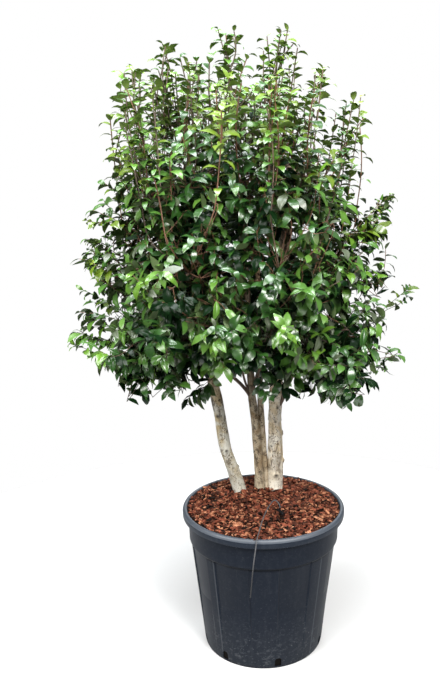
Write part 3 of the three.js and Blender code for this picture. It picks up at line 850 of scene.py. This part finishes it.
def addSpray(tip, way, length, kind, leafCount, bare=0.25):
    if any(x[0] < tip[0] < x[1] and z[0] < tip[2] < z[1] for x, z in growth["bays"]):
        return
    base = tip - way * length
    parent = skeleton.reach(base, way, 0.05, 0.3)
    droop = rng.normal(0, 0.010, 3) + upwards * rng.uniform(-0.004, 0.010)
    steps = max(4, int(length / 0.03))
    t = np.linspace(0, 1, steps)[:, None]
    path = base + (tip - base) * t + droop * np.sin(math.pi * t)
    skeleton.line(path[1:], parent, least=growth["shootRadius"] if kind == "leader" else growth["twigRadius"])
    sprays.append({"path": path, "kind": kind, "leaves": leafCount, "bare": bare})


crownAxis = np.array(growth["axis"])


def outwardOf(point):
    away = np.array([point[0] - crownAxis[0], point[1] - crownAxis[1], 0.0])
    return away / max(np.linalg.norm(away), 1e-6)


def riseOf(height):
    return np.clip((height - growth["riseFrom"]) / growth["riseOver"], 0, 1)


clumps = []
for spot in seats[rng.permutation(len(seats))]:
    if all(np.linalg.norm(spot - other) > growth["clumpSize"] for other in clumps):
        clumps.append(spot)
clumps = np.array(clumps)

for spot, normal in zip(seats, seatNormals):
    share = np.linalg.norm(clumps - spot, axis=1).min() / growth["clumpSize"]
    if share > growth["gapFrom"] and rng.random() < growth["gapShare"]:
        continue
    if spot[0] > growth["thinFrom"] and rng.random() < growth["thinShare"]:
        continue
    spot = spot + normal * (growth["swell"] - growth["sink"] * share ** 2)
    if normal[2] < -0.3:
        spot = spot - normal * growth["underLift"]
    left, low, lift = growth["lowLeft"]
    if spot[0] < left and spot[2] < low:
        spot[2] += lift
    rise = riseOf(spot[2])
    aim = growth["aim"]
    outward, up = (start + change * rise for start, change in (aim["outward"], aim["up"]))
    way = unit(normal * aim["normal"] + outwardOf(spot) * outward + upwards * up
               + rng.normal(0, aim["scatter"], 3))
    foot = spot - way * 0.15
    # low down, none hangs from a long bare twig
    isLow = foot[2] < growth["crownFoot"] + 0.1
    if isLow and np.linalg.norm(skeleton.points[skeleton.seat(foot)] - foot) > growth["longest"]:
        continue
    kind = "leader" if spot[2] > growth["leaderFoot"] + rng.normal(0, 0.05) else "body"
    if kind == "leader" and rng.random() < growth["leaderGaps"]:
        continue
    shift, lengths = growth["outer"][kind]
    addSpray(spot + way * rng.uniform(*shift), way, rng.uniform(*lengths), kind, rng.integers(8, 12))
print("outer sprays", len(sprays))

# inner sprays close the crown against the light, and most of their leaves carry the painted-shade tint
inner = growth["inner"]
for _ in range(inner["count"]):
    i = rng.integers(len(seats))
    if seats[i][2] > growth["leaderFoot"] + 0.05:
        continue
    spot = seats[i] - seatNormals[i] * rng.uniform(*inner["depth"]) + rng.normal(0, inner["scatter"], 3)
    way = unit(seatNormals[i] * 0.4 + upwards * 0.5 + rng.normal(0, 0.5, 3))
    addSpray(spot, way, inner["length"], "inner", rng.integers(*inner["leaves"]), 0.1)


# upright shoots make the open top
def shootEnds(name, node):
    points, _ = nodeMesh(node)
    if name.startswith("leader"):
        order = np.argsort(points[:, 2])
    else:
        order = np.argsort(np.linalg.norm(points[:, :2] - crownAxis, axis=1))
    return points[order[:6]].mean(0), points[order[-4:]].mean(0)


def addSideShoot(tip, way, rise=0.4):
    way = unit(way + upwards * rise)
    addSpray(tip + upwards * 0.015, way, *growth["shoots"]["side"])
    for _ in range(3):
        lean = unit(way + rng.normal(0, 0.3, 3) + upwards * 0.1)
        start = tip - way * rng.uniform(0.10, 0.2)
        addSpray(start + lean * 0.11, lean, 0.12, "side", rng.integers(5, 8))


for name, node in sorted(shootNodes.items()):
    base, tip = shootEnds(name, node)
    way = unit(tip - base)
    if name.startswith("leader"):
        addSpray(tip - upwards * 0.02, way, *growth["shoots"]["leader"])
        for _ in range(2):
            lean = unit(way + rng.normal(0, 0.22, 3))
            start = tip - way * rng.uniform(0.16, 0.3)
            addSpray(start + lean * 0.16, lean, 0.16, "leader", rng.integers(4, 7))
    else:
        addSideShoot(tip, way)

for tip, rise in growth["sideTips"]:
    addSideShoot(np.array(tip), outwardOf(tip), rise)
for tip in growth["topTips"]:
    addSpray(np.array(tip), unit(outwardOf(tip) * 0.15 + upwards), *growth["shoots"]["top"])
for tip in growth["hangingTips"]:
    addSpray(np.array(tip), unit(outwardOf(tip) - upwards * 0.7), *growth["shoots"]["hanging"])

openTop = growth["openTop"]
for _ in range(openTop["count"]):
    reach = openTop["reach"] * rng.random() ** 0.34
    turn = rng.random() * 2 * math.pi
    out = np.array([math.cos(turn), math.sin(turn), 0])
    share = reach / openTop["reach"]
    # lower towards the rim of the top, and at the front
    top = openTop["height"] - openTop["rimDrop"] * share ** 6 + openTop["frontDrop"] * reach * math.sin(turn)
    top += rng.normal(0, 0.04)
    lean = openTop["lean"] * reach
    way = unit(out * lean + upwards + rng.normal(0, 0.06, 3))
    tip = np.array([*openTop["middle"], min(top, openTop["most"])]) + out * reach + out * lean * 0.3
    addSpray(tip, way, rng.uniform(*openTop["length"]), "leader", rng.integers(*openTop["leaves"]), 0.06)
print("sprays", len(sprays))


# radii by the pipe rule, from the tips down, then one tube for each run of the thickest child
def pipeRadii():
    count = len(skeleton.points)
    children = [[] for _ in range(count)]
    for i, parent in enumerate(skeleton.parents):
        if parent >= 0:
            children[parent].append(i)
    power = growth["pipe"]
    radii = np.zeros(count)
    for i in range(count - 1, -1, -1):
        total = sum(radii[c] ** power for c in children[i] if skeleton.fixed[c] is None)
        radii[i] = skeleton.fixed[i] or max(total ** (1 / power), skeleton.least[i])
    return radii, children


def limbRuns(radii, children):
    runs = []
    main = [max(c, key=lambda k: radii[k]) if c else -1 for c in children]
    for i, parent in enumerate(skeleton.parents):
        if i < stemCount or (parent >= stemCount and main[parent] == i):
            continue
        run = [i]
        while main[run[-1]] >= 0:
            run.append(main[run[-1]])
        path = np.array([skeleton.points[k] for k in run])
        sizes = radii[run]
        if parent >= 0:
            path = np.vstack([skeleton.points[parent], path])
            sizes = np.concatenate([[sizes[0]], sizes])
        runs.append((path, sizes))
    return runs


radii, children = pipeRadii()
limbPoints, limbFaces = {"boughs": [], "twigs": []}, {"boughs": [], "twigs": []}
offsets = {"boughs": 0, "twigs": 0}
twigKinds = []
for path, sizes in limbRuns(radii, children):
    # points that fall together are left out
    keep = np.concatenate([[True], np.linalg.norm(np.diff(path, axis=0), axis=1) > 0.002])
    path, sizes = path[keep], sizes[keep]
    if len(path) < 2:
        continue
    kind = "boughs" if sizes[0] > growth["boughFrom"] else "twigs"
    if kind == "boughs" and len(path) > 3:
        count = max(4, int(lengthOf(path) / 0.02))
        share = np.linspace(0, 1, len(path))
        path = smoothRoute(path, count)
        sizes = np.interp(np.linspace(0, 1, count), share, sizes)
    points, faces = tube(path, sizes, 8 if kind == "boughs" else 4, offsets[kind])
    offsets[kind] += len(points)
    limbPoints[kind].append(points)
    limbFaces[kind] += faces
    if kind == "twigs":
        middle = path[:, 2].mean() + rng.normal(0, 0.12)
        twigKinds += [int(middle >= growth["redFrom"]) + int(middle >= growth["greyFrom"])] * len(faces)
print("limbs", {k: len(f) for k, f in limbFaces.items()})

boughFinish = Finish("bough_bark", specular=0.3)
grain = boughFinish.noise(boughFinish.place(), 60.0)
boughFinish.set(colour=boughFinish.mix(grain, (0.05, 0.032, 0.022), (0.15, 0.105, 0.075)), rough=0.8,
                normal=boughFinish.bump(grain, 0.4, 0.001))
twigColours = {
    "twig_low": (0.030, 0.020, 0.011), "twig_red": (0.140, 0.070, 0.042), "twig_grey": (0.090, 0.066, 0.050)}
twigFinishes = [Finish(name, colour=colour, rough=0.6, specular=0.3).material
                for name, colour in twigColours.items()]
limbPoints = {kind: np.vstack(points) for kind, points in limbPoints.items()}
boughPiece = meshPiece("boughs", limbPoints["boughs"], limbFaces["boughs"], [boughFinish.material], sharp=50)
place(boughPiece, "bark", *boughs)
twigPiece = meshPiece("twigs", limbPoints["twigs"], limbFaces["twigs"], twigFinishes, twigKinds, sharp=60)
place(twigPiece, "twig")

leafSettings = {
    "seed": 21, "variants": 16,
    # along the blade: how far, and half the width there, both as shares of the length
    "outline": ((0.13, 0.095), (0.35, 0.195), (0.61, 0.205), (0.84, 0.100)),
    "columns": (-1.0, -0.5, 0.0, 0.5, 1.0), "thick": 0.006,
    "arched": 8, "archedShare": 0.8,  # these first variants are bent over, for most leaves of the shoots
    # the body's leaves are larger low down, and smaller towards the front
    "lowSize": 1.10, "smallerUp": 0.08, "smallerFront": 0.12, "frontReach": 0.5, "endLeaf": 0.72,
    "litFlank": 0.28,  # from the crown's middle, to the left and right; beyond it sprays get lighter tints, painted light on the flanks
    "sizes": (0.82, 1.12), "turnScatter": 14,  # a leaf's size in its spray, and degrees round the twig
    "shoulder": 2.27,  # below it the upright shoots bear the body's deeper greens
    "young": 2.15,  # and above it leaves have pale undersides, made paler still as painted backlight
    # shares of the leaves that are off their spray's tint, and that are grey on the flanks or not; the
    # flanks' larger grey share is painted sheen
    "other": 0.2, "grey": {True: 0.19, False: 0.06},
    "kinds": {
        "body": {"length": (0.066, 0.089), "angle": (52, 80), "droop": (0.0, 0.5), "step": 144},
        "hanging": {"length": (0.062, 0.084), "angle": (44, 76), "droop": (0.1, 0.4), "step": 144},
        "inner": {"length": (0.066, 0.086), "angle": (45, 80), "droop": (0.0, 0.5), "step": 144},
        "leader": {"length": (0.061, 0.082), "angle": (40, 68), "droop": (-0.1, 0.1), "step": 140},
        "side": {"length": (0.062, 0.084), "angle": (42, 66), "droop": (0.0, 0.25), "step": 180},
    },
}


def leafVariant(rng, arched):
    columns = np.array(leafSettings["columns"])
    wide = rng.uniform(0.9, 1.14) if arched else rng.uniform(0.88, 1.1)
    fold = rng.uniform(0.3, 0.75)
    camber = fold * rng.uniform(0.6, 1.0)
    turn = rng.uniform(1.2, 2.1) if arched else rng.uniform(0.35, 1.3)
    twist = rng.normal(0, 0.25)
    wave = rng.uniform(0, 0.12)

    def spot(share, half, column):
        # the blade bends back on an arc; its halves are domed either side of the midrib
        bend = turn * share ** 1.15
        dome = fold * abs(column) - camber * column ** 2
        rise = half * (dome + wave * column * math.sin(8 * share + column))
        rise += half * column * math.sin(twist * share)
        return (math.sin(bend) / turn + rise * math.sin(bend), half * column * math.cos(twist * share),
                (math.cos(bend) - 1) / turn + rise * math.cos(bend))

    rows = [(share, half * wide) for share, half in leafSettings["outline"]]
    points = [(0.0, 0.0, 0.0)]
    points += [spot(share, half, column) for share, half in rows for column in columns]
    tip = len(points)
    points.append(spot(1.0, 0.0, 0.0))
    points += [np.array(spot(share, half, 0.0)) - (0, 0, leafSettings["thick"]) for share, half in rows]
    upper, lower = [], []
    for j in range(4):
        upper.append((0, 1 + j, 2 + j, 2 + j))
        upper.append((tip - 5 + j, tip, tip - 4 + j, tip - 4 + j))
    for r in range(len(rows) - 1):
        a, b, m, n = 1 + 5 * r, 6 + 5 * r, tip + 1 + r, tip + 2 + r
        upper += [(a + j, b + j, b + j + 1, a + j + 1) for j in range(4)]
        lower += [(a, m, n, b), (m, a + 4, b + 4, n)]
    lower += [(0, tip + 1, 1, 1), (0, 5, tip + 1, tip + 1)]
    lower += [(tip - 5, tip + len(rows), tip, tip), (tip + len(rows), tip - 1, tip, tip)]
    # local x runs along the blade, y across it and z out of its upper face
    return np.array(points), np.array(upper), np.array(lower)


leafRng = np.random.default_rng(leafSettings["seed"])
variants = [leafVariant(leafRng, i < leafSettings["arched"]) for i in range(leafSettings["variants"])]

tints = {
    # painted shade: a near-black green for leaves deep in the crown and under it
    "leaf_deep_shade": (0.0025, 0.0125, 0.0028),
    "leaf_dark": (0.0175, 0.0630, 0.0085),
    "leaf_mid": (0.0500, 0.1300, 0.0190),
    "leaf_fresh": (0.0730, 0.1700, 0.0210),
    "leaf_bright": (0.0900, 0.1950, 0.0180),
    "leaf_olive_dark": (0.0640, 0.1130, 0.0100),
    "leaf_olive": (0.1020, 0.1680, 0.0120),
    "leaf_young": (0.1300, 0.1980, 0.0140),
    # greyish leaves, and on the flanks a painted sheen
    "leaf_grey_sheen": (0.0580, 0.0760, 0.0420),
    "leaf_under": (0.0620, 0.0980, 0.0320),
    # pale young undersides, lightened further as painted backlight shining through
    "leaf_under_young_backlit": (0.1500, 0.2150, 0.0480),
}
tintNames = list(tints)


def leafFinish(name, colour):
    under = "under" in name
    specular = 0.15 if name == "leaf_deep_shade" else 0.3 if under else 0.8
    rough = 0.55 if under else 0.42 if "grey" in name else 0.31
    return Finish(name, colour=colour, rough=rough, specular=specular).material


leafFinishes = [leafFinish(name, colour) for name, colour in tints.items()]

# each kind's share of the tints, in their order; the first tint is painted shade, carried most by the inner,
# hanging and body sprays
sprayTints = {
    "body": (0.25, 0.45, 0.23, 0.06, 0.01, 0.0, 0.0, 0.0),
    # lighter tints on the flanks: painted light
    "litFlank": (0.09, 0.25, 0.35, 0.26, 0.05, 0.0, 0.0, 0.0),
    "hanging": (0.34, 0.46, 0.15, 0.04, 0.01, 0.0, 0.0, 0.0),
    "inner": (0.82, 0.17, 0.01, 0.0, 0.0, 0.0, 0.0, 0.0),
    "leader": (0.0, 0.07, 0.19, 0.13, 0.04, 0.34, 0.19, 0.04),
    "shoulder": (0.02, 0.21, 0.33, 0.18, 0.03, 0.16, 0.07, 0.0),
    "side": (0.0, 0.12, 0.33, 0.26, 0.06, 0.13, 0.09, 0.01),
}
# low at the front most sprays are fresh green
brightPatch = {"middle": np.array([-0.18, -0.38, 1.54]), "reach": np.array([0.11, 0.16, 0.20]),
               "share": 0.85, "fresh": 0.65}


def tintOf(spray, end, onLitFlank, rng):
    weights = sprayTints[spray["kind"]]
    if spray["kind"] == "leader" and end[2] < leafSettings["shoulder"]:
        weights = sprayTints["shoulder"]
    elif spray["kind"] == "side" and abs(end[1]) > 0.3:
        weights = sprayTints["body"]
    elif onLitFlank:
        weights = sprayTints["litFlank"]
    tint = int(rng.choice(len(weights), p=weights))
    near = np.linalg.norm((end - brightPatch["middle"]) / brightPatch["reach"]) < 1
    if near and rng.random() < brightPatch["share"]:
        tint = 3 if rng.random() < brightPatch["fresh"] else 2
    return tint


def leavesOf(spray, rng):
    s = leafSettings
    kind = s["kinds"][spray["kind"]]
    path = spray["path"]
    end = path[-1]
    along, side, up = framesAlong(path)
    count = spray["leaves"]
    places = spray["bare"] + (1 - spray["bare"]) * np.linspace(0, 1, count) ** 0.8
    turn = rng.random() * 2 * math.pi
    size = rng.uniform(*kind["length"])
    if spray["kind"] in ("body", "inner"):
        size *= s["lowSize"] - s["smallerUp"] * riseOf(end[2])
        size *= 1 - s["smallerFront"] * np.clip(-end[1] / s["frontReach"], 0, 1)
    onLitFlank = spray["kind"] == "body" and abs(end[0] - crownAxis[0]) > s["litFlank"]
    tint = tintOf(spray, end, onLitFlank, rng)
    leaves = []
    for j, share in enumerate(places):
        spot = share * (len(path) - 1)
        i = min(int(spot), len(path) - 2)
        base = path[i] + (path[i + 1] - path[i]) * (spot - i)
        turn += math.radians(kind["step"] + rng.normal(0, s["turnScatter"]))
        radial = side[i] * math.cos(turn) + up[i] * math.sin(turn)
        if spray["kind"] == "side":
            level = unit(np.cross(along[i], upwards))
            radial = unit(level * (1 if j % 2 else -1) + upwards * 0.25 + rng.normal(0, 0.2, 3))
        angle = math.radians(rng.uniform(*kind["angle"]) * (1 - 0.45 * share ** 3))
        droop = upwards * rng.uniform(*kind["droop"])
        way = unit(along[i] * math.cos(angle) + radial * math.sin(angle) - droop)
        if spray["kind"] == "leader":
            face = along[i] + upwards * 0.3 + rng.normal(0, 0.25, 3)
        else:
            shake = 0.5 if spray["kind"] == "side" else 0.38
            face = along[i] * 0.3 + upwards * 0.9 + outwardOf(base) * 0.15 + rng.normal(0, shake, 3)
        normal = unit(face - way * face.dot(way))
        length = size * rng.uniform(*s["sizes"]) * (s["endLeaf"] if j == count - 1 else 1.0)
        length *= 0.9 + 0.1 * math.sin(math.pi * share)
        own = tint
        if rng.random() < s["other"]:
            own = int(np.clip(own + rng.choice([-1, 1]), *((0, 4) if tint < 5 else (5, 7))))
        elif spray["kind"] == "body" and rng.random() < s["grey"][onLitFlank]:
            own = tintNames.index("leaf_grey_sheen")
        arched = spray["kind"] in ("leader", "side") and rng.random() < s["archedShare"]
        shape = rng.integers(0, s["arched"]) if arched else rng.integers(2, len(variants))
        leaves.append((base, way, normal, length, own, shape))
    return leaves


def makeLeaves(sprayList, name, rng):
    gathered = [leaf for spray in sprayList for leaf in leavesOf(spray, rng)]
    base, way, normal, length, tint, kind = (np.array(column) for column in zip(*gathered))
    across = np.cross(normal, way)
    points, faces, materials, offset = [], [], [], 0
    for v, (local, upper, lower) in enumerate(variants):
        chosen = np.flatnonzero(kind == v)
        if not len(chosen):
            continue
        frameOf = np.stack([way[chosen], across[chosen], normal[chosen]], 1) * length[chosen][:, None, None]
        placed = base[chosen][:, None] + np.einsum("pk,nkx->npx", local, frameOf)
        starts = offset + np.arange(len(chosen))[:, None, None] * len(local)
        points.append(placed.reshape(-1, 3))
        faces.append((upper[None] + starts).reshape(-1, 4))
        materials.append(np.repeat(tint[chosen], len(upper)))
        faces.append((lower[None] + starts).reshape(-1, 4))
        young = ((tint[chosen] >= 5) & (tint[chosen] <= 7)) | (base[chosen][:, 2] > leafSettings["young"])
        under = np.where(young, tintNames.index("leaf_under_young_backlit"), tintNames.index("leaf_under"))
        materials.append(np.repeat(under, len(lower)))
        offset += placed.shape[0] * placed.shape[1]
    faces = np.concatenate(faces)
    listed = [tuple(f[:3]) if f[2] == f[3] else tuple(f) for f in faces.tolist()]
    piece = meshPiece(name, np.vstack(points), listed, leafFinishes, np.concatenate(materials), sharp=34)
    print(name, len(gathered), "leaves", len(listed), "faces")
    return piece


leafTiers = {"lower": 1.50, "middle": 1.80, "upper": 2.1, "top": math.inf, "shoots": None}  # each one's top
leafGroups = {tier: [] for tier in leafTiers}
for spray in sprays:
    height = spray["path"][-1][2]
    tier = "shoots" if spray["kind"] == "leader" else next(t for t, top in leafTiers.items() if height < top)
    leafGroups[tier].append(spray)
for tier, group in leafGroups.items():
    young = tier == "shoots"
    nodes = shootNodes if young else [name for name in crownNodes if name.startswith("foliage_" + tier)]
    place(makeLeaves(group, "leaves_" + tier, leafRng), "young_foliage" if young else "foliage", *nodes)


floorFinish = Finish("floor_finish", colour=(0.62, 0.62, 0.62), rough=0.9, specular=0.1)
floorPoints = [(2.4 * math.cos(a), 2.4 * math.sin(a), 0) for a in roundAngles(96)]
floor = meshPiece("floor", floorPoints, [tuple(range(len(floorPoints)))], [floorFinish.material])

world = bpy.data.worlds.new("studio")
world.use_nodes = True
bpy.context.scene.world = world
studio = Nodes(world.node_tree)
seen = studio.node("LightPath", {}, {}, 0)  # the backdrop is plain white, and what lights the plant is dimmer
glow = 0.03 + 0.48 * studio.band(studio.height(studio.node("TexCoord", {}, {}, 0)), 0.0, 0.9)
background = world.node_tree.nodes["Background"]
background.inputs[0].default_value = (1.0, 1.0, 1.0, 1.0)
studio.put(background.inputs[1], seen + (1 - seen) * glow)

lights = {
    "key": {"place": (2.4, -3.8, 4.4), "aim": (0, 0, 1.4), "size": 2.2, "power": 470},
    "fill": {"place": (-3.4, -2.8, 3.4), "aim": (0, 0, 1.4), "size": 2.6, "power": 270},
    "top": {"place": (-0.5, -0.8, 5.2), "aim": (0, 0, 1.5), "size": 3.0, "power": 460},
    "back": {"place": (0.4, 4.4, 4.0), "aim": (0, 0, 1.2), "size": 3.0, "power": 150},
}
for name, light in lights.items():
    data = bpy.data.lights.new(name, "AREA")
    data.size = light["size"]
    data.energy = light["power"]
    data.color = (0.93, 0.97, 1.0) if name in ("back", "top") else (1.0, 0.98, 0.95)
    lamp = bpy.data.objects.new(name, data)
    lamp.location = light["place"]
    lamp.rotation_euler = (Vector(light["aim"]) - Vector(light["place"])).to_track_quat("-Z", "Y").to_euler()
    bpy.context.collection.objects.link(lamp)
bpy.context.scene.view_settings.view_transform = "Standard"
